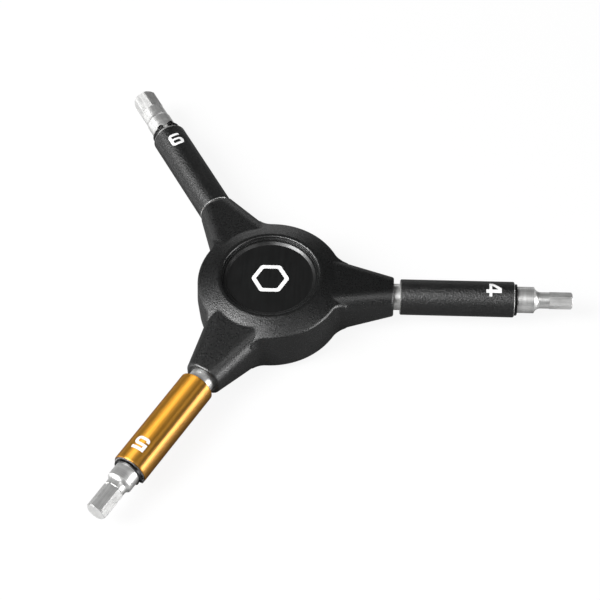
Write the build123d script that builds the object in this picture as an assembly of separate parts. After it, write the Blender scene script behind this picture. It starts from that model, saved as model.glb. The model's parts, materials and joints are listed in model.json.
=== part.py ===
from build123d import *
import os
from typing import NamedTuple

# A three-way hex driver: a moulded hub, three steel drivers at 120 degrees, and on each
# driver a sleeve that spins freely and floats a little between the hub's nose and a circlip.
#
# Lengths are millimetres and angles are degrees. Z is the axis of the hub, the hub's
# underside lies on Z = 0, and the arm with the smallest hexagon points along X. A station is
# a distance from the hub's axis, measured out along an arm. Pieces are modelled with the
# three shaft axes on Z = 0 and are lifted by half the hub's height when they are written.

# Moulded hub: its land is the flat ring that it rests on, and its crown slopes from the
# land down to the rim of the side wall
HUB_HALF_HEIGHT = 8.4
HUB_RADIUS = 19.65
HUB_DRAFT_ANGLE = 3
HUB_EDGE_ROUND = 0.8
LAND_WIDTH = 0.95
RIM_DROP = 2.48
CROWN_EDGE_DROP = 5.68
CROWN_MARGIN = 1.0

# Webs that carry the hub's side wall out to the noses
WEB_HALF_WIDTH = 7.8
WEB_REACH = 3.85
WEB_END_HALF_WIDTH = 5.0
WEB_FILLET = 3.5

# Tapered noses round the drivers
NOSE_ROOT_STATION = 12.0
NOSE_ROOT_HALF_WIDTH = 9.58
NOSE_ROOT_DROP = 0.61
NOSE_ROOT_CORNER = 3.9
NOSE_FACE_STATION = 32.8
NOSE_FACE_SIDE_WALL = 1.35
NOSE_FACE_TOP_WALL = 1.38
NOSE_FACE_HALF_FLAT = 0.7
NOSE_FACE_ROUND = 0.6
NOSE_MOUTH_CHAMFER = 0.35

# Recess for a badge, the same in both faces of the hub
RECESS_RADIUS = 12.95
RECESS_LIP_ROUND = 0.4
LEDGE_WIDTH = 0.45
LEDGE_DEPTH = 0.7
SEAT_DEPTH = 2.8

# Dished badge: a raised rim with a bevel down to a flat face
BADGE_CLEARANCE = 0.08
BADGE_RIM_DEPTH = 1.05
BADGE_RIM_WIDTH = 0.4
BADGE_BEVEL_WIDTH = 0.65
BADGE_BEVEL_DEPTH = 0.55

# Steel drivers: a round shank with a root that is locked in the hub
SHANK_RADIUS = 3.5
ROOT_STATION = 6.5
ROOT_FLAT_DEPTH = 0.7
ROOT_FLAT_LENGTH = 10.5
ROOT_GROOVE_STATION = 20.0
ROOT_GROOVE_WIDTH = 2.0
ROOT_GROOVE_DEPTH = 0.6
NECK_RELIEF = 0.1
FLARE_HOLLOW_SHARE = 0.3
TIP_CHAMFER = 0.35
CORNER_TRUNCATION_SHARE = 0.983

# Hexagons: the size across the flats, the length, and the turn of a flat from the top
HEX_4_FLATS = 4.0
HEX_5_FLATS = 5.0
HEX_6_FLATS = 6.0
HEX_4_LENGTH = 6.1
HEX_5_LENGTH = 7.75
HEX_6_LENGTH = 6.05
HEX_4_TURN = -17.4
HEX_5_TURN = -10.35
HEX_6_TURN = -28.0

# Between clip and hexagon: the bare end of the shank, the hollow flare and the neck
SHANK_4_END = 4.5
SHANK_5_END = 3.7
SHANK_6_END = 4.7
FLARE_4_LENGTH = 1.8
FLARE_5_LENGTH = 1.5
FLARE_6_LENGTH = 0.9
NECK_4_LENGTH = 2.3
NECK_5_LENGTH = 0.95
NECK_6_LENGTH = 3.25

# Circlips, and the turn of each one's gap from the top
CLIP_THICKNESS = 0.6
CLIP_STAND = 0.6
CLIP_GAP = 1.4
CLIP_EAR_RADIUS = 0.85
CLIP_EAR_HOLE_RADIUS = 0.4
CLIP_EAR_STAND = 1.25
CLIP_GROOVE_DEPTH = 0.35
CLIP_SIDE_CLEARANCE = 0.03
CLIP_SEAT_CLEARANCE = 0.05
CLIP_4_TURN = 180
CLIP_5_TURN = 128
CLIP_6_TURN = 3

# Aluminium sleeves, with the gap from the nose and the play from the clip at rest
SLEEVE_WALL = 1.25
SLEEVE_LENGTH = 30.4
SLEEVE_EDGE_ROUND = 0.45
SLEEVE_BORE_CLEARANCE = 0.08
SLEEVE_BORE_CHAMFER = 0.2
SLEEVE_LIP_LENGTH = 2.0
SLEEVE_4_GAP = 1.65
SLEEVE_5_GAP = 2.4
SLEEVE_6_GAP = 0.4
SLEEVE_4_PLAY = 0.1
SLEEVE_5_PLAY = 0.15
SLEEVE_6_PLAY = 1.15

# Split liners that the sleeves turn on, snapped into a recess in each bore
LINER_WALL = 0.35
LINER_SHAFT_CLEARANCE = 0.05
LINER_SLEEVE_CLEARANCE = 0.06
LINER_END_CLEARANCE = 0.1
LINER_SLIT = 0.6

# Overrun of every cut past the surface that it opens
OVERRUN = 1.0


class Arm(NamedTuple):
    """What differs from arm to arm, and the stations that follow from it."""

    angle: float
    flats: float
    hex_length: float
    hex_turn: float
    shank_end: float
    flare: float
    neck_length: float
    clip_turn: float
    gap: float
    play: float

    @property
    def sleeve_start(self):
        return NOSE_FACE_STATION + self.gap

    @property
    def sleeve_end(self):
        return self.sleeve_start + SLEEVE_LENGTH

    @property
    def clip_start(self):
        return self.sleeve_end + self.play

    @property
    def shoulder(self):
        return self.clip_start + CLIP_THICKNESS + self.shank_end

    @property
    def neck_start(self):
        return self.shoulder + self.flare

    @property
    def hex_start(self):
        return self.neck_start + self.neck_length

    @property
    def tip(self):
        return self.hex_start + self.hex_length

    @property
    def corner_radius(self):
        return self.flats / 3**0.5 * CORNER_TRUNCATION_SHARE


ARMS = {
    "4": Arm(
        angle=0, flats=HEX_4_FLATS, hex_length=HEX_4_LENGTH, hex_turn=HEX_4_TURN,
        shank_end=SHANK_4_END, flare=FLARE_4_LENGTH, neck_length=NECK_4_LENGTH,
        clip_turn=CLIP_4_TURN, gap=SLEEVE_4_GAP, play=SLEEVE_4_PLAY,
    ),
    "5": Arm(
        angle=-120, flats=HEX_5_FLATS, hex_length=HEX_5_LENGTH, hex_turn=HEX_5_TURN,
        shank_end=SHANK_5_END, flare=FLARE_5_LENGTH, neck_length=NECK_5_LENGTH,
        clip_turn=CLIP_5_TURN, gap=SLEEVE_5_GAP, play=SLEEVE_5_PLAY,
    ),
    "6": Arm(
        angle=120, flats=HEX_6_FLATS, hex_length=HEX_6_LENGTH, hex_turn=HEX_6_TURN,
        shank_end=SHANK_6_END, flare=FLARE_6_LENGTH, neck_length=NECK_6_LENGTH,
        clip_turn=CLIP_6_TURN, gap=SLEEVE_6_GAP, play=SLEEVE_6_PLAY,
    ),
}


def across(station):
    """The plane square to an arm that lies along X: its x is the arm's side, its y is up."""
    return Plane(origin=(station, 0, 0), x_dir=(0, 1, 0), z_dir=(1, 0, 0))


def rod(start, end, radius):
    """A round bar along X between two stations."""
    return extrude(across(start) * Circle(radius), amount=end - start)


def turned(points):
    """A body of revolution about X from the half section that runs through the points."""
    outline = Polyline(*points, close=True)
    return revolve(Plane.XZ * make_face(outline), axis=Axis.X)


def placed(shape, arm):
    """Swings a shape from the X axis round to its arm."""
    return Rot(0, 0, arm.angle) * shape


# Hub


def hub_outline():
    """The plan of the side wall: a circle that flares through hollow fillets into the webs."""
    reach = HUB_RADIUS + WEB_FILLET
    side = WEB_HALF_WIDTH + WEB_FILLET
    centre = Vector((reach**2 - side**2) ** 0.5, side)
    toe = centre * (HUB_RADIUS / reach)
    heel = Vector(centre.X, WEB_HALF_WIDTH)
    inwards = ((toe - centre).normalized() + (heel - centre).normalized()).normalized()
    hollow = centre + inwards * WEB_FILLET
    end = Vector(HUB_RADIUS + WEB_REACH, WEB_END_HALF_WIDTH)
    left = [end, heel, hollow, toe]
    right = [Vector(point.X, -point.Y) for point in reversed(left)]
    angles = sorted(arm.angle for arm in ARMS.values())
    lines = []
    for angle, next_angle in zip(angles, angles[1:] + [angles[0] + 360]):
        turn = [point.rotate(Axis.Z, angle) for point in right + left]
        between = Vector(HUB_RADIUS, 0).rotate(Axis.Z, (angle + next_angle) / 2)
        next_toe = right[0].rotate(Axis.Z, next_angle)
        lines += [
            ThreePointArc(turn[0], turn[1], turn[2]),
            Polyline(turn[2], turn[3], turn[4], turn[5]),
            ThreePointArc(turn[5], turn[6], turn[7]),
            ThreePointArc(turn[7], between, next_toe),
        ]
    return make_face(lines)


def hub_crown():
    """The solid of revolution that slopes both faces of the hub down towards the rim."""
    top = HUB_HALF_HEIGHT
    land = (RECESS_RADIUS + LAND_WIDTH, top)
    rim = (HUB_RADIUS, top - RIM_DROP)
    web_corner = Vector(HUB_RADIUS + WEB_REACH, WEB_END_HALF_WIDTH)
    reach = web_corner.length + CROWN_MARGIN
    edge = (reach, top - CROWN_EDGE_DROP)
    upper = [
        Polyline(edge, (reach, 0), (0, 0), (0, top), land),
        ThreePointArc(land, rim, edge),
    ]
    half = revolve(Plane.XZ * make_face(upper), axis=Axis.Z)
    return half + mirror(half, about=Plane.XY)


def hub_blank():
    """The hub's middle, drafted both ways from the parting line, with its rim rounded."""
    half = extrude(hub_outline(), amount=HUB_HALF_HEIGHT, taper=HUB_DRAFT_ANGLE)
    drafted = half + mirror(half, about=Plane.XY)
    crown = hub_crown()
    blank = drafted & crown
    rim = new_edges(drafted, crown, combined=blank)
    return fillet(rim, HUB_EDGE_ROUND)


def nose():
    """One tapered nose along X, flatter on top at its root and nearly round at its face."""
    half_width = SHANK_RADIUS + NOSE_FACE_SIDE_WALL
    half_height = SHANK_RADIUS + NOSE_FACE_TOP_WALL
    corner = half_width - NOSE_FACE_HALF_FLAT
    face = RectangleRounded(2 * half_width, 2 * half_height, corner)
    root_height = 2 * (HUB_HALF_HEIGHT - NOSE_ROOT_DROP)
    root = RectangleRounded(2 * NOSE_ROOT_HALF_WIDTH, root_height, NOSE_ROOT_CORNER)
    sections = [across(NOSE_ROOT_STATION) * root, across(NOSE_FACE_STATION) * face]
    body = loft(sections, ruled=True)
    return fillet(body.faces().sort_by(Axis.X)[-1].edges(), NOSE_FACE_ROUND)


def recess():
    """The cut for the upper badge: a seat, a ledge round it and a rounded lip."""
    top = HUB_HALF_HEIGHT
    seat_radius = RECESS_RADIUS - LEDGE_WIDTH
    lip_start = (RECESS_RADIUS, top - RECESS_LIP_ROUND)
    lip_end = (RECESS_RADIUS + RECESS_LIP_ROUND, top)
    section = [
        Polyline(
            (lip_end[0], top + OVERRUN),
            (0, top + OVERRUN),
            (0, top - SEAT_DEPTH),
            (seat_radius, top - SEAT_DEPTH),
            (seat_radius, top - LEDGE_DEPTH),
            (RECESS_RADIUS, top - LEDGE_DEPTH),
            lip_start,
        ),
        RadiusArc(lip_start, lip_end, RECESS_LIP_ROUND),
        Line(lip_end, (lip_end[0], top + OVERRUN)),
    ]
    return revolve(Plane.XZ * make_face(section), axis=Axis.Z)


def nose_mouth():
    """The chamfer where a driver leaves the nose's face."""
    inner = NOSE_FACE_STATION - NOSE_MOUTH_CHAMFER
    outer = NOSE_FACE_STATION + OVERRUN
    wide = SHANK_RADIUS + NOSE_MOUTH_CHAMFER
    return turned([
        (inner, 0),
        (inner, SHANK_RADIUS),
        (NOSE_FACE_STATION, wide),
        (outer, wide),
        (outer, 0),
    ])


def hub_body(drivers):
    """The hub, moulded round the roots of the drivers."""
    body = hub_blank()
    for arm in ARMS.values():
        body += placed(nose(), arm)
    body -= recess()
    body -= mirror(recess(), about=Plane.XY)
    for name, arm in ARMS.items():
        body -= placed(nose_mouth(), arm)
        body -= drivers[name]
    return body


def badge():
    """The disc pressed into the upper recess."""
    seat = HUB_HALF_HEIGHT - SEAT_DEPTH
    rim = HUB_HALF_HEIGHT - BADGE_RIM_DEPTH
    outer = RECESS_RADIUS - LEDGE_WIDTH - BADGE_CLEARANCE
    inner = outer - BADGE_RIM_WIDTH
    outline = Polyline(
        (0, seat),
        (outer, seat),
        (outer, rim),
        (inner, rim),
        (inner - BADGE_BEVEL_WIDTH, rim - BADGE_BEVEL_DEPTH),
        (0, rim - BADGE_BEVEL_DEPTH),
        close=True,
    )
    return revolve(Plane.XZ * make_face(outline), axis=Axis.Z)


# Drivers


def driver_blank(arm):
    """The turned driver: shank, hollow flare, neck and a round tip."""
    corner = arm.corner_radius
    neck = corner - NECK_RELIEF
    flare_start = (arm.shoulder, SHANK_RADIUS)
    flare_pull = (arm.shoulder + arm.flare * FLARE_HOLLOW_SHARE, neck)
    flare_end = (arm.neck_start, neck)
    lines = [
        Polyline((ROOT_STATION, 0), (ROOT_STATION, SHANK_RADIUS), flare_start),
        Bezier(flare_start, flare_pull, flare_end),
        Polyline(
            flare_end,
            (arm.hex_start, neck),
            (arm.hex_start, corner),
            (arm.tip - TIP_CHAMFER, corner),
            (arm.tip, corner - TIP_CHAMFER),
            (arm.tip, 0),
            (ROOT_STATION, 0),
        ),
    ]
    return revolve(Plane.XZ * make_face(lines), axis=Axis.X)


def ring_cut(start, width, inner):
    """A groove round a driver, down to the inner radius."""
    outer = SHANK_RADIUS + OVERRUN
    return rod(start, start + width, outer) - rod(start, start + width, inner)


def root_flats():
    """The two cuts that keep a driver from turning in the hub."""
    half_thickness = SHANK_RADIUS - ROOT_FLAT_DEPTH
    width = 2 * (SHANK_RADIUS + OVERRUN)
    depth = ROOT_FLAT_DEPTH + OVERRUN
    length = ROOT_FLAT_LENGTH + OVERRUN
    place = Pos(ROOT_STATION - OVERRUN + length / 2, 0, half_thickness + depth / 2)
    upper = place * Box(length, width, depth)
    return upper + mirror(upper, about=Plane.XY)


def hexagon_cut(arm):
    """What is milled off the tip to leave its hexagon."""
    length = arm.hex_length + OVERRUN
    hexagon = RegularPolygon(arm.flats / 2, 6, major_radius=False, rotation=arm.hex_turn)
    waste = Circle(arm.corner_radius + OVERRUN) - hexagon
    return extrude(across(arm.hex_start) * waste, amount=length)


def driver(arm):
    """One steel driver along X."""
    clip_groove = CLIP_THICKNESS + 2 * CLIP_SIDE_CLEARANCE
    clip_floor = SHANK_RADIUS - CLIP_GROOVE_DEPTH
    root_floor = SHANK_RADIUS - ROOT_GROOVE_DEPTH
    body = driver_blank(arm)
    body -= hexagon_cut(arm)
    body -= root_flats()
    body -= ring_cut(ROOT_GROOVE_STATION, ROOT_GROOVE_WIDTH, root_floor)
    body -= ring_cut(arm.clip_start - CLIP_SIDE_CLEARANCE, clip_groove, clip_floor)
    return body


# Circlips


def circlip(arm):
    """The open ring with two holed ears that sits in a driver's groove."""
    inner = SHANK_RADIUS - CLIP_GROOVE_DEPTH + CLIP_SEAT_CLEARANCE
    outer = SHANK_RADIUS + CLIP_STAND
    ear_centre = SHANK_RADIUS + CLIP_EAR_STAND - CLIP_EAR_RADIUS
    ear_side = CLIP_GAP / 2 + CLIP_EAR_RADIUS
    ear_height = (ear_centre**2 - ear_side**2) ** 0.5
    ears = [Pos(side * ear_side, ear_height) for side in (-1, 1)]
    ring = Circle(outer)
    for place in ears:
        ring += place * Circle(CLIP_EAR_RADIUS)
    ring -= Circle(inner)
    ring -= Pos(0, outer) * Rectangle(CLIP_GAP, 2 * outer)
    for place in ears:
        ring -= place * Circle(CLIP_EAR_HOLE_RADIUS)
    ring = Rot(0, 0, -arm.clip_turn) * ring
    return extrude(across(arm.clip_start) * ring, amount=CLIP_THICKNESS)


# Sleeves and their liners


def sleeve(arm):
    """The tube that is held while the tool is spun: two lips with a recess between them."""
    start = arm.sleeve_start
    end = arm.sleeve_end
    bore = SHANK_RADIUS + SLEEVE_BORE_CLEARANCE
    mouth = bore + SLEEVE_BORE_CHAMFER
    pocket = SHANK_RADIUS + LINER_SHAFT_CLEARANCE + LINER_WALL + LINER_SLEEVE_CLEARANCE
    body = rod(start, end, SHANK_RADIUS + SLEEVE_WALL)
    body = fillet(body.edges().filter_by(GeomType.CIRCLE), SLEEVE_EDGE_ROUND)
    body -= turned([
        (start - OVERRUN, 0),
        (start - OVERRUN, mouth),
        (start, mouth),
        (start + SLEEVE_BORE_CHAMFER, bore),
        (start + SLEEVE_LIP_LENGTH, bore),
        (start + SLEEVE_LIP_LENGTH, pocket),
        (end - SLEEVE_LIP_LENGTH, pocket),
        (end - SLEEVE_LIP_LENGTH, bore),
        (end - SLEEVE_BORE_CHAMFER, bore),
        (end, mouth),
        (end + OVERRUN, mouth),
        (end + OVERRUN, 0),
    ])
    return body


def liner(arm):
    """The split liner in a sleeve's recess."""
    end_room = SLEEVE_LIP_LENGTH + LINER_END_CLEARANCE
    inner = SHANK_RADIUS + LINER_SHAFT_CLEARANCE
    outer = inner + LINER_WALL
    slit = Pos(0, -outer) * Rectangle(LINER_SLIT, 2 * outer)
    ring = Circle(outer) - Circle(inner) - slit
    return extrude(across(arm.sleeve_start + end_room) * ring, amount=SLEEVE_LENGTH - 2 * end_room)


# Assembly


def write(name, shape):
    """Lifts a piece so that the hub's underside lies on Z = 0 and writes it."""
    lifted = Pos(0, 0, HUB_HALF_HEIGHT) * shape
    export_step(lifted, f"parts/{name}.step")


def main():
    os.makedirs("parts", exist_ok=True)
    drivers = {name: placed(driver(arm), arm) for name, arm in ARMS.items()}
    write("hub_body", hub_body(drivers))
    write("top_badge", badge())
    write("bottom_badge", mirror(badge(), about=Plane.XY))
    for name, arm in ARMS.items():
        write(f"driver_{name}", drivers[name])
        write(f"circlip_{name}", placed(circlip(arm), arm))
        write(f"sleeve_{name}", placed(sleeve(arm), arm))
        write(f"liner_{name}", placed(liner(arm), arm))


main()
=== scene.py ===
import json
import math

import bmesh
import bpy
from mathutils import Matrix, Vector


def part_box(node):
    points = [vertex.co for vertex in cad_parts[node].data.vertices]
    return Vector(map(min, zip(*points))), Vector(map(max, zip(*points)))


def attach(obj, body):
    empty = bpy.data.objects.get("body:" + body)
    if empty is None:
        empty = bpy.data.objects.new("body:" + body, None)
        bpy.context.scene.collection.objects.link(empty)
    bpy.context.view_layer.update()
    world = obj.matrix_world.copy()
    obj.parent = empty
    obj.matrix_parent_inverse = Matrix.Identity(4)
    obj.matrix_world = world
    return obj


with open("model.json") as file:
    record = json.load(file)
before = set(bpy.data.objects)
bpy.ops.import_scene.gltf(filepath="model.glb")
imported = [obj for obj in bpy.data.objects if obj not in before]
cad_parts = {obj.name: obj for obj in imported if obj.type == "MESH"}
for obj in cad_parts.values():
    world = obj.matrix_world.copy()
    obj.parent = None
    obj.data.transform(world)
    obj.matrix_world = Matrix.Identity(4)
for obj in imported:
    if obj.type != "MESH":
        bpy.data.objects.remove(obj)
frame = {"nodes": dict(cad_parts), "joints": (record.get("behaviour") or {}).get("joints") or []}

# The looks of the three-way hex wrench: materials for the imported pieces, the printed size
# digits, the mark on the badge, and a plain studio. Lengths are metres, angles are degrees.
MM = 0.001
UP = Vector((0, 0, 1))

bpy.context.view_layer.update()

# The photograph's camera: it looks parallel to a line to the middle of the hub, and stands a
# little to the right of that line and below it
CAMERA_AZIMUTH = 3.66
CAMERA_ELEVATION = 52.74
CAMERA_ROLL = 1.55
CAMERA_DISTANCE = 0.56198
CAMERA_RIGHT = 0.00777
CAMERA_DOWN = 0.00162
CAMERA_LENS_MM = 126.0
CAMERA_SENSOR_MM = 36.0
CAMERA_NEAR = 0.01
CAMERA_FAR = 20

# Printed digits: the glyph's size, its stroke as a share of its height, how far its middle
# lies from the sleeve's outer end, and the turn of its middle from the top of the sleeve
GLYPH_HEIGHT = 4.05 * MM
GLYPH_WIDTH = 3.8 * MM
GLYPH_STROKE_SHARE = 0.215
DIGIT_SETBACKS = {"4": 5.57 * MM, "5": 5.8 * MM, "6": 5.46 * MM}
DIGIT_TURNS = {"4": -1.2, "5": -1.8, "6": 0.4}

# Ink: its thickness, and the width of the strips that it is cut in so that it follows a curve
INK_THICKNESS = 0.02 * MM
INK_STRIP = 0.25 * MM

# Corners in the ink's outlines: the steps in each, and the radius of those that look sharp
CORNER_STEPS = 8
SHARP_CORNER = 0.0001 * MM

# Plain hexagon ring on the badge, across its flats, and the share of the badge's radius that
# is sure to lie in its dish
MARK_OUTER = 8.8 * MM
MARK_INNER = 6.6 * MM
MARK_CORNER = 1.0 * MM
DISH_SHARE = 0.93

# How far the bare machined metal reaches in from a sleeve's ends, and beyond it a painted shade:
# a dark band on the gold sleeve's turned edges in place of the shadow at its ends
SLEEVE_CUTS = {
    "4": {"hub_end": 0.22 * MM, "outer_end": 0.22 * MM},
    "5": {"hub_end": 0.02 * MM, "outer_end": 0.02 * MM},
    "6": {"hub_end": 0.22 * MM, "outer_end": 0.4 * MM},
}
GOLD_EDGE = {"hub_end": 0.14 * MM, "outer_end": 0.14 * MM}

# How deep the bead blast is on each black sleeve
SLEEVE_GRAINS = {"4": 0.22 * MM, "6": 0.13 * MM}

# How far the moulded hub's edges are rounded off, at the lip of the recess and farther out, and
# the distances outside the badge between which that changes
HUB_ROUNDINGS = (0.1 * MM, 0.8 * MM)
HUB_ROUNDING_REACH = (0.5 * MM, 2 * MM)

# Where the turned rings on a driver give way to grinding lines, from its tip
RINGS_END = 9 * MM
LINES_START = 7 * MM

# How far a rounded normal leans from the flat one, as a cosine, where an edge's mark starts and
# where it is full: wear on the hub and the clip, a painted highlight on the badge
EDGE_COSINES = (0.98, 0.8)

# Linear colours: pairs run from a material's darkest blots to its lightest
HUB_BLACKS = ((0.004, 0.0042, 0.0042, 1), (0.007, 0.0073, 0.0073, 1))
HUB_WORN = (0.03, 0.031, 0.031, 1)
BADGE_BLACKS = ((0.006, 0.0062, 0.0062, 1), (0.009, 0.0093, 0.0093, 1))
# A painted highlight along the badge's edges and rims, far lighter than its plastic
BADGE_EDGE_PAINTED_HIGHLIGHT = (0.12, 0.12, 0.12, 1)
STEELS = ((0.72, 0.72, 0.71, 1), (0.95, 0.95, 0.94, 1))
OXIDES = ((0.003, 0.003, 0.0035, 1), (0.008, 0.008, 0.0085, 1))
OXIDE_WORN = (0.03, 0.03, 0.03, 1)
ACETALS = ((0.72, 0.71, 0.66, 1), (0.82, 0.81, 0.77, 1))
BLACK_DYES = ((0.005, 0.0052, 0.0052, 1), (0.009, 0.0093, 0.0093, 1))
GOLD_DYES = ((0.66, 0.27, 0.02, 1), (0.82, 0.42, 0.07, 1))
# A painted shade: the dark band just inside the gold sleeve's ends
GOLD_END_PAINTED_SHADE = (0.08, 0.025, 0.004, 1)
GOLD_TINT = (0.3, 0.15, 0.08, 1)
BARE_ALUMINIUM = (0.8, 0.8, 0.79, 1)
INK_WHITES = ((0.78, 0.78, 0.78, 1), (0.88, 0.88, 0.88, 1))

# Soft boxes: where each stands as seen from the hub, its width and height, and its radiance
LAMP_DISTANCE = 0.9
LAMPS = {
    "key": {"towards": (-0.65, -0.31, 0.7), "size": (0.4, 0.5), "radiance": 17.0},
    "side": {"towards": (-0.81, 0.05, 0.59), "size": (0.3, 0.3), "radiance": 4.5},
    "left": {"towards": (-0.95, 0.25, 0.17), "size": (0.4, 0.4), "radiance": 0.7},
    "front": {"towards": (-0.33, -0.47, 0.82), "size": (0.44, 0.32), "radiance": 5.6},
    "right": {"towards": (0.96, -0.19, 0.135), "size": (0.74, 0.36), "radiance": 6.4},
    "fill": {"towards": (0.48, -0.33, 0.82), "size": (0.34, 0.34), "radiance": 2.2},
    "back": {"towards": (-0.1, 0.99, 0.12), "size": (0.45, 0.3), "radiance": 0.9},
}

# Sky: its colour, and its strength as a light, as glossy surfaces mirror it and as the camera
# sees it
SKY_COLOUR = (1, 1, 1, 1)
SKY_LEVEL = 0.01
SKY_LEVEL_MIRRORED = 0.02
SKY_LEVEL_SEEN = 1.0

# Floor: its size, and the colour of its paper, as a surface that light falls on and as the
# camera sees it
FLOOR_HALF_SIZE = 6.0
FLOOR_COLOUR = (0.12, 0.12, 0.12, 1)
FLOOR_COLOUR_SEEN = (0.85, 0.85, 0.85, 1)

# How much of the paper is plain white instead, near the hub and farther out, and the distances
# from the hub between which that changes: as the camera sees it, and as glossy surfaces
# mirror it, where the low share near the hub is a painted shade for the tool's shadow
FLOOR_WHITES_SEEN = (0.9, 1.0)
FLOOR_SEEN_REACH = (0.3, 1.0)
FLOOR_MIRRORED_WHITES_WITH_PAINTED_SHADE = (0.03, 0.6)
FLOOR_MIRRORED_REACH = (70 * MM, 88 * MM)

# The floor's gloss, as glossy surfaces mirror it: its strength at the lowest angle, how soon it
# fades at steeper ones, and its roughness
FLOOR_SHEEN = 2.0
FLOOR_SHEEN_FADING = 3.0
FLOOR_SHEEN_ROUGHNESS = 0.45


# Places measured on the frame


def extent(node, direction):
    """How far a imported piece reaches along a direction: its lowest and highest station."""
    reach = [vertex.co.dot(direction) for vertex in frame["nodes"][node].data.vertices]
    return min(reach), max(reach)


def arm_directions():
    """The outward direction of each arm, from the axes of the joints that its sleeve spins on."""
    return {
        joint["name"].split("_")[1]: Vector(joint["axis"])
        for joint in frame["joints"]
        if joint["name"].endswith("_spin")
    }


ARMS = arm_directions()
HUB_LOW, HUB_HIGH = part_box("hub_body")
AXIS_HEIGHT = (HUB_LOW.z + HUB_HIGH.z) / 2
CENTRE = Vector((0, 0, AXIS_HEIGHT))
BADGE_RADIUS = extent("top_badge", Vector((1, 0, 0)))[1]


# Node trees


class Graph:
    """A node tree under construction, with short calls for the nodes that are used most."""

    def __init__(self, tree):
        self.tree = tree
        tree.nodes.clear()

    def add(self, kind, inputs=(), **settings):
        """Adds a node. Each input is a value for its socket, or another node's output."""
        node = self.tree.nodes.new(kind)
        for name, value in settings.items():
            setattr(node, name, value)
        for name, value in dict(inputs).items():
            if isinstance(value, bpy.types.NodeSocket):
                self.tree.links.new(value, node.inputs[name])
            else:
                node.inputs[name].default_value = value
        return node

    def calculate(self, operation, *values):
        """The result of a Math node."""
        return self.add("ShaderNodeMath", enumerate(values), operation=operation).outputs[0]

    def length(self, vector):
        """How long a vector is."""
        return self.add("ShaderNodeVectorMath", {0: vector}, operation="LENGTH").outputs["Value"]

    def remap(self, value, old, new):
        """The value, moved from the old range to the new one and kept inside it."""
        inputs = {
            "Value": value, "From Min": old[0], "From Max": old[1],
            "To Min": new[0], "To Max": new[1],
        }
        return self.add("ShaderNodeMapRange", inputs).outputs["Result"]

    # The mix nodes' sockets share their names, so the next three calls give them by number
    def mix(self, share, first, second):
        """The blend of two colours."""
        inputs = {0: share, 6: first, 7: second}
        return self.add("ShaderNodeMix", inputs, data_type="RGBA").outputs[2]

    def mix_numbers(self, share, first, second):
        """The blend of two numbers."""
        inputs = {0: share, 2: first, 3: second}
        return self.add("ShaderNodeMix", inputs).outputs[0]

    def mix_shaders(self, share, first, second):
        """The blend of two shaders."""
        inputs = {0: share, 1: first, 2: second}
        return self.add("ShaderNodeMixShader", inputs).outputs[0]

    def place(self):
        """The point on the object, in metres in the shared frame."""
        return self.add("ShaderNodeTexCoord").outputs["Object"]

    def stretched(self, place, scales):
        """The point with its axes scaled, so that a texture is drawn out along one of them."""
        inputs = {0: place, 1: scales}
        return self.add("ShaderNodeVectorMath", inputs, operation="MULTIPLY").outputs[0]

    def noise(self, place, size, detail=2.0, roughness=0.5):
        """A noise from 0 to 1 whose blots are about as wide as the size."""
        inputs = {"Vector": place, "Scale": 1 / size, "Detail": detail, "Roughness": roughness}
        return self.add("ShaderNodeTexNoise", inputs).outputs["Fac"]

    def bump(self, height, depth, normal=None):
        """The surface normal, tilted by a height map of the given depth."""
        inputs = {"Height": height, "Distance": depth}
        if normal:
            inputs["Normal"] = normal
        return self.add("ShaderNodeBump", inputs).outputs["Normal"]

    def rounding(self, radius):
        """The surface normal, with edges and corners rounded off to the given radius."""
        return self.add("ShaderNodeBevel", {"Radius": radius}, samples=8).outputs["Normal"]

    def edges(self, radius):
        """Near 1 on edges and corners of about the given radius, and 0 on open surfaces."""
        rounded = self.rounding(radius)
        flat = self.add("ShaderNodeNewGeometry").outputs["Normal"]
        inputs = {0: rounded, 1: flat}
        same = self.add("ShaderNodeVectorMath", inputs, operation="DOT_PRODUCT")
        return self.remap(same.outputs["Value"], EDGE_COSINES, (0.0, 1.0))


def material(name):
    """A new, empty node material and its graph."""
    made = bpy.data.materials.new(name)
    made.use_nodes = True
    return made, Graph(made.node_tree)


def surface(graph, inputs):
    """Ends a material in one Principled shader."""
    shader = graph.add("ShaderNodeBsdfPrincipled", inputs)
    graph.add("ShaderNodeOutputMaterial", {"Surface": shader.outputs["BSDF"]})


def mirrored_rays(graph, path):
    """1 for a ray that a glossy surface mirrors or that a clear one lets through, else 0."""
    return graph.calculate("MAXIMUM", path["Is Glossy Ray"], path["Is Transmission Ray"])


def along_arm(graph, direction):
    """The point in an arm's own axes: its station, its side and its height over the axis."""
    turn = -math.atan2(direction.y, direction.x)
    inputs = {"Vector": graph.place(), "Center": CENTRE, "Angle": turn}
    rotated = graph.add("ShaderNodeVectorRotate", inputs, rotation_type="Z_AXIS")
    raised = graph.add(
        "ShaderNodeVectorMath", {0: rotated.outputs[0], 1: CENTRE}, operation="SUBTRACT"
    )
    return raised.outputs[0]


def station_along(graph, place):
    """How far along the arm a point lies, from the point in the arm's own axes."""
    return graph.add("ShaderNodeSeparateXYZ", {0: place}).outputs["X"]


def grain_axis(graph, direction):
    """The arm's direction, which the fine lines drawn along a sleeve follow."""
    return graph.add("ShaderNodeCombineXYZ", enumerate(direction)).outputs[0]


# Materials


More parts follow.
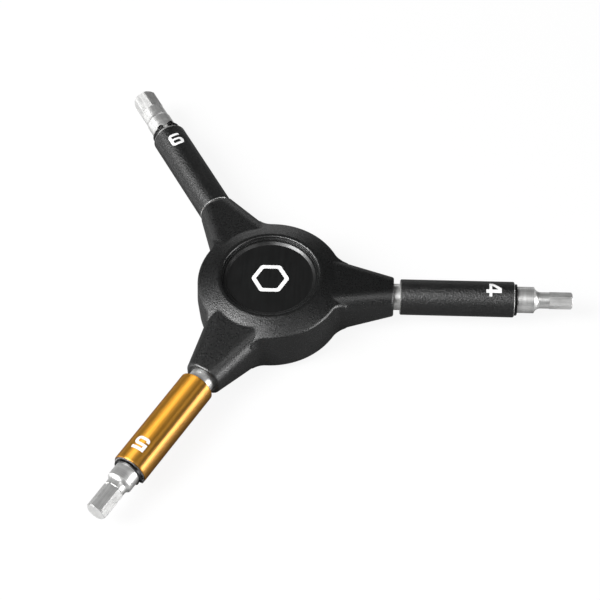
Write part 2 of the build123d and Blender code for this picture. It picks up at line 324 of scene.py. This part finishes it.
def hub_plastic():
    """Black glass-filled plastic with a fine, uneven grain."""
    made, graph = material("hub_plastic_look")
    place = graph.place()
    grain = graph.noise(place, size=0.4 * MM, detail=3.0, roughness=0.65)
    blots = graph.noise(place, size=4.0 * MM, detail=3.0)
    patches = graph.remap(blots, (0.3, 0.6), (0.2, 1.0))
    edge_mask = graph.calculate("MULTIPLY", graph.edges(radius=0.35 * MM), patches)
    from_axis = graph.length(graph.stretched(place, (1.0, 1.0, 0.0)))
    reach = [BADGE_RADIUS + distance for distance in HUB_ROUNDING_REACH]
    round_over = graph.remap(from_axis, reach, HUB_ROUNDINGS)
    surface(graph, {
        "Base Color": graph.mix(edge_mask, graph.mix(blots, *HUB_BLACKS), HUB_WORN),
        "Roughness": graph.remap(grain, (0.35, 0.65), (0.4, 0.25)),
        "Specular IOR Level": 1.0,
        "Normal": graph.bump(grain, depth=0.08 * MM, normal=graph.rounding(round_over)),
    })
    return made


def badge_plastic():
    """Smoother black plastic with a satin face, faint rub marks, and a painted highlight along its
    edges.
    """
    made, graph = material("badge_plastic_look")
    place = graph.place()
    grain = graph.noise(place, size=0.25 * MM)
    blots = graph.noise(place, size=3.0 * MM, detail=4.0)
    rubs = graph.noise(graph.stretched(place, (1.0, 0.06, 1.0)), size=0.5 * MM, detail=3.0)
    # A painted highlight along the badge's edges and rims
    edge_mask = graph.edges(radius=0.12 * MM)
    surface(graph, {
        "Base Color": graph.mix(edge_mask, graph.mix(blots, *BADGE_BLACKS), BADGE_EDGE_PAINTED_HIGHLIGHT),
        "Specular IOR Level": 0.8,
        "Roughness": graph.remap(rubs, (0.35, 0.7), (0.28, 0.38)),
        "Normal": graph.bump(grain, depth=0.008 * MM, normal=graph.rounding(radius=0.12 * MM)),
    })
    return made


def driver_steel(name, direction):
    """Bright satin steel: turned rings on the round part, grinding lines along the hexagon."""
    made, graph = material(f"driver_steel_{name}_look")
    place = along_arm(graph, direction)
    rings = graph.noise(graph.stretched(place, (1.0, 0.02, 0.02)), size=0.12 * MM, detail=3.0)
    lines = graph.noise(graph.stretched(place, (0.02, 1.0, 1.0)), size=0.15 * MM, detail=3.0)
    station = station_along(graph, place)
    tip = extent(f"driver_{name}", direction)[1]
    on_hexagon = graph.remap(station, (tip - RINGS_END, tip - LINES_START), (0.0, 1.0))
    marks = graph.mix_numbers(on_hexagon, rings, lines)
    blots = graph.noise(place, size=2.5 * MM, detail=4.0)
    shade = graph.mix_numbers(0.5, blots, marks)
    scored = graph.remap(shade, (0.35, 0.6), (0.0, 1.0))
    surface(graph, {
        "Base Color": graph.mix(scored, *STEELS),
        "Metallic": 0.84,
        "Roughness": graph.remap(marks, (0.3, 0.7), (0.3, 0.42)),
        "Normal": graph.bump(marks, depth=0.006 * MM),
    })
    return made


def clip_steel():
    """Glossy black oxide on spring steel, thinner on the edges."""
    made, graph = material("clip_steel_look")
    place = graph.place()
    blots = graph.noise(place, size=0.8 * MM, detail=3.0)
    edge_mask = graph.edges(radius=0.06 * MM)
    surface(graph, {
        "Base Color": graph.mix(edge_mask, graph.mix(blots, *OXIDES), OXIDE_WORN),
        "Specular IOR Level": 0.35,
        "Roughness": graph.remap(blots, (0.3, 0.7), (0.18, 0.3)),
        "Normal": graph.bump(graph.noise(place, size=0.1 * MM), depth=0.003 * MM),
    })
    return made


def liner_plastic():
    """Natural acetal, a little waxy, polished by the shaft that turns in it."""
    made, graph = material("liner_plastic_look")
    place = graph.place()
    blots = graph.noise(place, size=2.0 * MM, detail=3.0)
    surface(graph, {
        "Base Color": graph.mix(blots, *ACETALS),
        "Roughness": graph.remap(blots, (0.3, 0.7), (0.35, 0.5)),
        "Subsurface Weight": 0.15,
        "Subsurface Radius": (0.5 * MM, 0.5 * MM, 0.4 * MM),
        "Normal": graph.bump(graph.noise(place, size=0.2 * MM), depth=0.003 * MM),
    })
    return made


def near_ends(graph, place, node, direction, hub_end, outer_end):
    """Near 1 within the given distances of a sleeve's two ends, and 0 between them."""
    low, high = extent(node, direction)
    station = station_along(graph, place)
    by_hub = graph.remap(station, (low + hub_end / 2, low + hub_end), (1.0, 0.0))
    by_tip = graph.remap(station, (high - outer_end, high - outer_end / 2), (0.0, 1.0))
    return graph.calculate("MAXIMUM", by_hub, by_tip)


def black_anodise(name, direction):
    """Black anodised aluminium over a fine bead blast, drawn out a little along the sleeve."""
    made, graph = material(f"sleeve_black_{name}_look")
    place = along_arm(graph, direction)
    grain = graph.noise(place, size=0.5 * MM, detail=3.0, roughness=0.65)
    blots = graph.noise(place, size=5.0 * MM, detail=3.0)
    bare = near_ends(graph, place, f"sleeve_{name}", direction, **SLEEVE_CUTS[name])
    surface(graph, {
        "Base Color": graph.mix(bare, graph.mix(blots, *BLACK_DYES), BARE_ALUMINIUM),
        "Metallic": bare,
        "Roughness": graph.remap(grain, (0.35, 0.65), (0.46, 0.28)),
        "Specular IOR Level": 0.75,
        "Anisotropic": 0.4,
        "Tangent": grain_axis(graph, direction),
        "Normal": graph.bump(grain, SLEEVE_GRAINS[name]),
    })
    return made


def gold_anodise(name, direction):
    """Gold anodised aluminium: a dyed, finely drawn surface under its clear oxide, with a band of
    painted shade near its ends.
    """
    made, graph = material(f"sleeve_gold_{name}_look")
    place = along_arm(graph, direction)
    grain = graph.noise(graph.place(), size=0.25 * MM)
    streaks = graph.noise(graph.stretched(place, (0.03, 1.0, 1.0)), size=0.5 * MM, detail=3.0)
    bare = near_ends(graph, place, f"sleeve_{name}", direction, **SLEEVE_CUTS[name])
    # A band of painted shade just inside the bare ends
    edge = near_ends(graph, place, f"sleeve_{name}", direction, **GOLD_EDGE)
    dyed_with_painted_shade = graph.mix(edge, graph.mix(streaks, *GOLD_DYES), GOLD_END_PAINTED_SHADE)
    surface(graph, {
        "Base Color": graph.mix(bare, dyed_with_painted_shade, BARE_ALUMINIUM),
        "Metallic": 0.9,
        "Roughness": graph.remap(streaks, (0.3, 0.7), (0.42, 0.38)),
        "Specular Tint": GOLD_TINT,
        "Anisotropic": 0.96,
        "Tangent": grain_axis(graph, direction),
        "Coat Weight": 0.5,
        "Coat Roughness": 0.25,
        "Coat IOR": 1.6,
        "Normal": graph.bump(grain, depth=0.002 * MM),
    })
    return made


def white_ink():
    """Pad-printed white ink, a little uneven."""
    made, graph = material("white_ink_look")
    place = graph.place()
    blots = graph.noise(place, size=0.6 * MM, detail=3.0)
    surface(graph, {
        "Base Color": graph.mix(blots, *INK_WHITES),
        "Roughness": graph.remap(blots, (0.3, 0.7), (0.45, 0.6)),
        "Normal": graph.bump(graph.noise(place, size=0.15 * MM), depth=0.003 * MM),
    })
    return made


def dress(node, look):
    """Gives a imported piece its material."""
    frame["nodes"][node].material_slots[0].material = look


# Printed marks


def rounded(corners):
    """The points of a closed outline whose corners, each (x, y, radius), are rounded off."""
    points = []
    for index, (x, y, radius) in enumerate(corners):
        here = Vector((x, y))
        before = (Vector(corners[index - 1][:2]) - here).normalized()
        after = (Vector(corners[(index + 1) % len(corners)][:2]) - here).normalized()
        half = before.angle(after) / 2
        centre = here + (before + after).normalized() * radius / math.sin(half)
        start = here + before * radius / math.tan(half) - centre
        end = here + after * radius / math.tan(half) - centre
        first = math.atan2(start.y, start.x)
        sweep = math.remainder(math.atan2(end.y, end.x) - first, 2 * math.pi)
        for step in range(CORNER_STEPS + 1):
            angle = first + sweep * step / CORNER_STEPS
            points.append(centre + radius * Vector((math.cos(angle), math.sin(angle))))
    return points


def digit_outlines():
    """The outer outline and the holes of each digit, from its lower left corner."""
    width = GLYPH_WIDTH
    height = GLYPH_HEIGHT
    stroke = GLYPH_STROKE_SHARE * height
    sharp = SHARP_CORNER
    wide = 1.1 * width
    stem = 0.52 * wide
    right = stem + stroke * 1.15
    bar = 0.2 * height
    bar_top = bar + stroke * 0.85
    four = [
        (stem, 0, sharp), (right, 0, sharp), (right, bar, sharp), (wide, bar, sharp),
        (wide, bar_top, sharp), (right, bar_top, sharp), (right, height, sharp),
        (0.42 * wide, height, sharp), (0, 0.44 * height, sharp), (0, bar, sharp),
        (stem, bar, sharp),
    ]
    four_hole = [(0.2 * wide, bar_top, sharp), (stem, bar_top, sharp), (stem, 0.8 * height, sharp)]
    flag = 0.94 * width
    flag_foot = height - stroke
    tail = 0.3 * height
    bowl = 0.64 * height
    curve = stroke * 0.9
    five = [
        (0, height, sharp), (flag, height, sharp), (flag, flag_foot, sharp),
        (stroke, flag_foot, sharp), (stroke, bowl, sharp), (width, bowl, 0.28 * height),
        (width, 0, 0.3 * height), (0, 0, 0.24 * height), (0, tail, sharp),
        (stroke, tail, sharp), (stroke, curve, 0.06 * height),
        (width - stroke, curve, 0.1 * height), (width - stroke, bowl - curve, 0.1 * height),
        (0, bowl - curve, sharp),
    ]
    hook = 0.9 * width
    waist = 0.6 * height
    curve = stroke * 0.85
    under_waist = waist - stroke * 0.75
    six = [
        (hook, height - curve, sharp), (hook, height, 0.1 * height),
        (0, height, 0.26 * height), (0, 0, 0.26 * height), (width, 0, 0.26 * height),
        (width, waist, 0.24 * height), (stroke, waist, 0.02 * height),
        (stroke, height - curve, 0.06 * height),
    ]
    six_hole = [
        (stroke, curve, 0.05 * height), (width - stroke, curve, 0.08 * height),
        (width - stroke, under_waist, 0.08 * height), (stroke, under_waist, 0.05 * height),
    ]
    return {"4": [four, four_hole], "5": [five], "6": [six, six_hole]}


def hexagon_outline(flats, corner):
    """A hexagon with rounded corners about the origin, one corner along X."""
    reach = flats / math.sqrt(3)
    turns = [math.radians(60 * index) for index in range(6)]
    return [(reach * math.cos(turn), reach * math.sin(turn), corner) for turn in turns]


def cut_in_strips(ink):
    """Cuts a flat mesh across X into strips, so that it can follow a curve."""
    low = min(vertex.co.x for vertex in ink.verts)
    high = max(vertex.co.x for vertex in ink.verts)
    strips = round((high - low) / INK_STRIP)
    for strip in range(1, strips):
        cut = Vector((low + (high - low) * strip / strips, 0, 0))
        whole = ink.verts[:] + ink.edges[:] + ink.faces[:]
        bmesh.ops.bisect_plane(ink, geom=whole, plane_co=cut, plane_no=(1, 0, 0))


def printed(name, outlines, placed_at, look):
    """A thin layer of ink inside the outlines, laid on a surface point by point."""
    ink = bmesh.new()
    for outline in outlines:
        ring = [ink.verts.new((*point, 0)) for point in rounded(outline)]
        for index, vertex in enumerate(ring):
            ink.edges.new((ring[index - 1], vertex))
    bmesh.ops.triangle_fill(ink, edges=ink.edges[:], use_beauty=True)
    cut_in_strips(ink)
    for face in ink.faces:
        if face.normal.z < 0:
            face.normal_flip()
    for vertex in ink.verts:
        vertex.co = placed_at(vertex.co)
    mesh = bpy.data.meshes.new(name)
    ink.to_mesh(mesh)
    ink.free()
    mesh.materials.append(look)
    piece = bpy.data.objects.new(name, mesh)
    bpy.context.scene.collection.objects.link(piece)
    layer = piece.modifiers.new("ink thickness", "SOLIDIFY")
    layer.thickness = INK_THICKNESS
    layer.offset = 1
    return piece


def print_digit(name, direction, look):
    """Prints a sleeve's size on it, with the top of the digit towards the tip."""
    end = extent(f"sleeve_{name}", direction)[1]
    station = end - DIGIT_SETBACKS[name]
    side = UP.cross(direction)
    low, high = extent(f"sleeve_{name}", side)
    radius = (high - low) / 2

    def on_sleeve(point):
        along = station + point.y - GLYPH_HEIGHT / 2
        turn = math.radians(DIGIT_TURNS[name]) - (point.x - GLYPH_WIDTH / 2) / radius
        outward = math.sin(turn) * side + math.cos(turn) * UP
        return CENTRE + along * direction + radius * outward

    digit = printed(f"digit_{name}", digit_outlines()[name], on_sleeve, look)
    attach(digit, f"sleeve_{name}_body")


def print_mark(look):
    """Prints a plain hexagon ring in the dish of the upper badge."""
    points = [vertex.co for vertex in frame["nodes"]["top_badge"].data.vertices]
    dish = max(point.z for point in points if point.xy.length < DISH_SHARE * BADGE_RADIUS)
    outlines = [
        hexagon_outline(MARK_OUTER, MARK_CORNER),
        hexagon_outline(MARK_INNER, MARK_CORNER * MARK_INNER / MARK_OUTER),
    ]
    mark = printed("badge_mark", outlines, lambda point: point + dish * UP, look)
    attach(mark, "hub")


# Studio


def floor_paper():
    """Pale paper that takes the object's shadow.

    The camera sees it as white. Glossy surfaces mirror it dim under the tool, a painted shade,
    and pale beyond it, with a gloss at low angles. From below it is clear.
    """
    made, graph = material("floor_look")
    path = graph.add("ShaderNodeLightPath").outputs
    mirrored = mirrored_rays(graph, path)
    distance = graph.length(graph.place())
    seen_share = graph.remap(distance, FLOOR_SEEN_REACH, FLOOR_WHITES_SEEN)
    seen_white = graph.calculate("MULTIPLY", path["Is Camera Ray"], seen_share)
    # Painted shade: glossy surfaces see the floor dim under the tool and white beyond its tips
    mirrored_share_with_painted_shade = graph.remap(distance, FLOOR_MIRRORED_REACH, FLOOR_MIRRORED_WHITES_WITH_PAINTED_SHADE)
    mirrored_white = graph.calculate("MULTIPLY", mirrored, mirrored_share_with_painted_shade)
    share = graph.calculate("ADD", seen_white, mirrored_white)
    colour = graph.mix(path["Is Camera Ray"], FLOOR_COLOUR, FLOOR_COLOUR_SEEN)
    paper = graph.add("ShaderNodeBsdfDiffuse", {"Color": colour}).outputs[0]
    white = graph.add("ShaderNodeEmission", {"Strength": 1.0}).outputs[0]
    lit = graph.mix_shaders(share, paper, white)
    slant = graph.add("ShaderNodeLayerWeight", {"Blend": 0.5}).outputs["Facing"]
    fading = graph.calculate("POWER", slant, FLOOR_SHEEN_FADING)
    sheen = graph.calculate("MULTIPLY", fading, FLOOR_SHEEN)
    gloss = graph.add("ShaderNodeBsdfAnisotropic", {"Roughness": FLOOR_SHEEN_ROUGHNESS}).outputs[0]
    glossed = graph.calculate("MULTIPLY", mirrored, sheen)
    polished = graph.mix_shaders(glossed, lit, gloss)
    clear = graph.add("ShaderNodeBsdfTransparent").outputs[0]
    under = graph.add("ShaderNodeNewGeometry").outputs["Backfacing"]
    both = graph.mix_shaders(under, polished, clear)
    graph.add("ShaderNodeOutputMaterial", {"Surface": both})
    return made


def studio_floor():
    """A large floor under the object."""
    half = FLOOR_HALF_SIZE
    corners = [(-half, -half, 0), (half, -half, 0), (half, half, 0), (-half, half, 0)]
    floor_mesh = bpy.data.meshes.new("floor")
    floor_mesh.from_pydata(corners, [], [(0, 1, 2, 3)])
    floor_mesh.materials.append(floor_paper())
    floor = bpy.data.objects.new("floor", floor_mesh)
    bpy.context.scene.collection.objects.link(floor)


def soft_box(name, towards, size, radiance):
    """A square-edged area lamp that faces the hub.

    An area lamp's energy is its radiance times pi times its area.
    """
    light = bpy.data.lights.new(f"{name}_soft_box", "AREA")
    light.shape = "RECTANGLE"
    light.size, light.size_y = size
    light.energy = radiance * math.pi * size[0] * size[1]
    lamp = bpy.data.objects.new(light.name, light)
    bpy.context.scene.collection.objects.link(lamp)
    direction = Vector(towards).normalized()
    lamp.location = CENTRE + direction * LAMP_DISTANCE
    lamp.rotation_euler = direction.to_track_quat("Z", "Y").to_euler()
    lamp.visible_camera = False


def studio_sky():
    """An even, dim light from all round that the camera sees as white."""
    world = bpy.data.worlds.new("studio_sky")
    bpy.context.scene.world = world
    world.use_nodes = True
    graph = Graph(world.node_tree)
    path = graph.add("ShaderNodeLightPath").outputs
    mirrored = mirrored_rays(graph, path)
    reflected = graph.remap(mirrored, (0.0, 1.0), (SKY_LEVEL, SKY_LEVEL_MIRRORED))
    seen = graph.calculate("MULTIPLY", path["Is Camera Ray"], SKY_LEVEL_SEEN)
    strength = graph.calculate("MAXIMUM", seen, reflected)
    light = graph.add("ShaderNodeBackground", {"Color": SKY_COLOUR, "Strength": strength})
    graph.add("ShaderNodeOutputWorld", {"Surface": light.outputs[0]})


def photo_camera():
    """The camera that took the photograph."""
    lens = bpy.data.cameras.new("photo_camera")
    lens.lens = CAMERA_LENS_MM
    lens.sensor_width = CAMERA_SENSOR_MM
    lens.clip_start = CAMERA_NEAR
    lens.clip_end = CAMERA_FAR
    camera = bpy.data.objects.new("photo_camera", lens)
    bpy.context.scene.collection.objects.link(camera)
    turn = Matrix.Rotation(math.radians(CAMERA_AZIMUTH), 4, "Z")
    tilt = Matrix.Rotation(math.radians(90 - CAMERA_ELEVATION), 4, "X")
    roll = Matrix.Rotation(math.radians(-CAMERA_ROLL), 4, "Z")
    back = Matrix.Translation((CAMERA_RIGHT, -CAMERA_DOWN, CAMERA_DISTANCE))
    camera.matrix_world = Matrix.Translation(CENTRE) @ turn @ tilt @ roll @ back
    bpy.context.scene.camera = camera


def main():
    dress("hub_body", hub_plastic())
    badge_look = badge_plastic()
    clip_look = clip_steel()
    liner_look = liner_plastic()
    ink = white_ink()
    for node in ("top_badge", "bottom_badge"):
        dress(node, badge_look)
    for name, direction in ARMS.items():
        dress(f"driver_{name}", driver_steel(name, direction))
        dress(f"circlip_{name}", clip_look)
        dress(f"liner_{name}", liner_look)
        anodise = gold_anodise if name == "5" else black_anodise
        dress(f"sleeve_{name}", anodise(name, direction))
        print_digit(name, direction, ink)
    print_mark(ink)
    studio_floor()
    for name, lamp in LAMPS.items():
        soft_box(name, **lamp)
    studio_sky()
    photo_camera()
    bpy.context.scene.view_settings.view_transform = "Standard"


main()

bpy.context.view_layer.update()
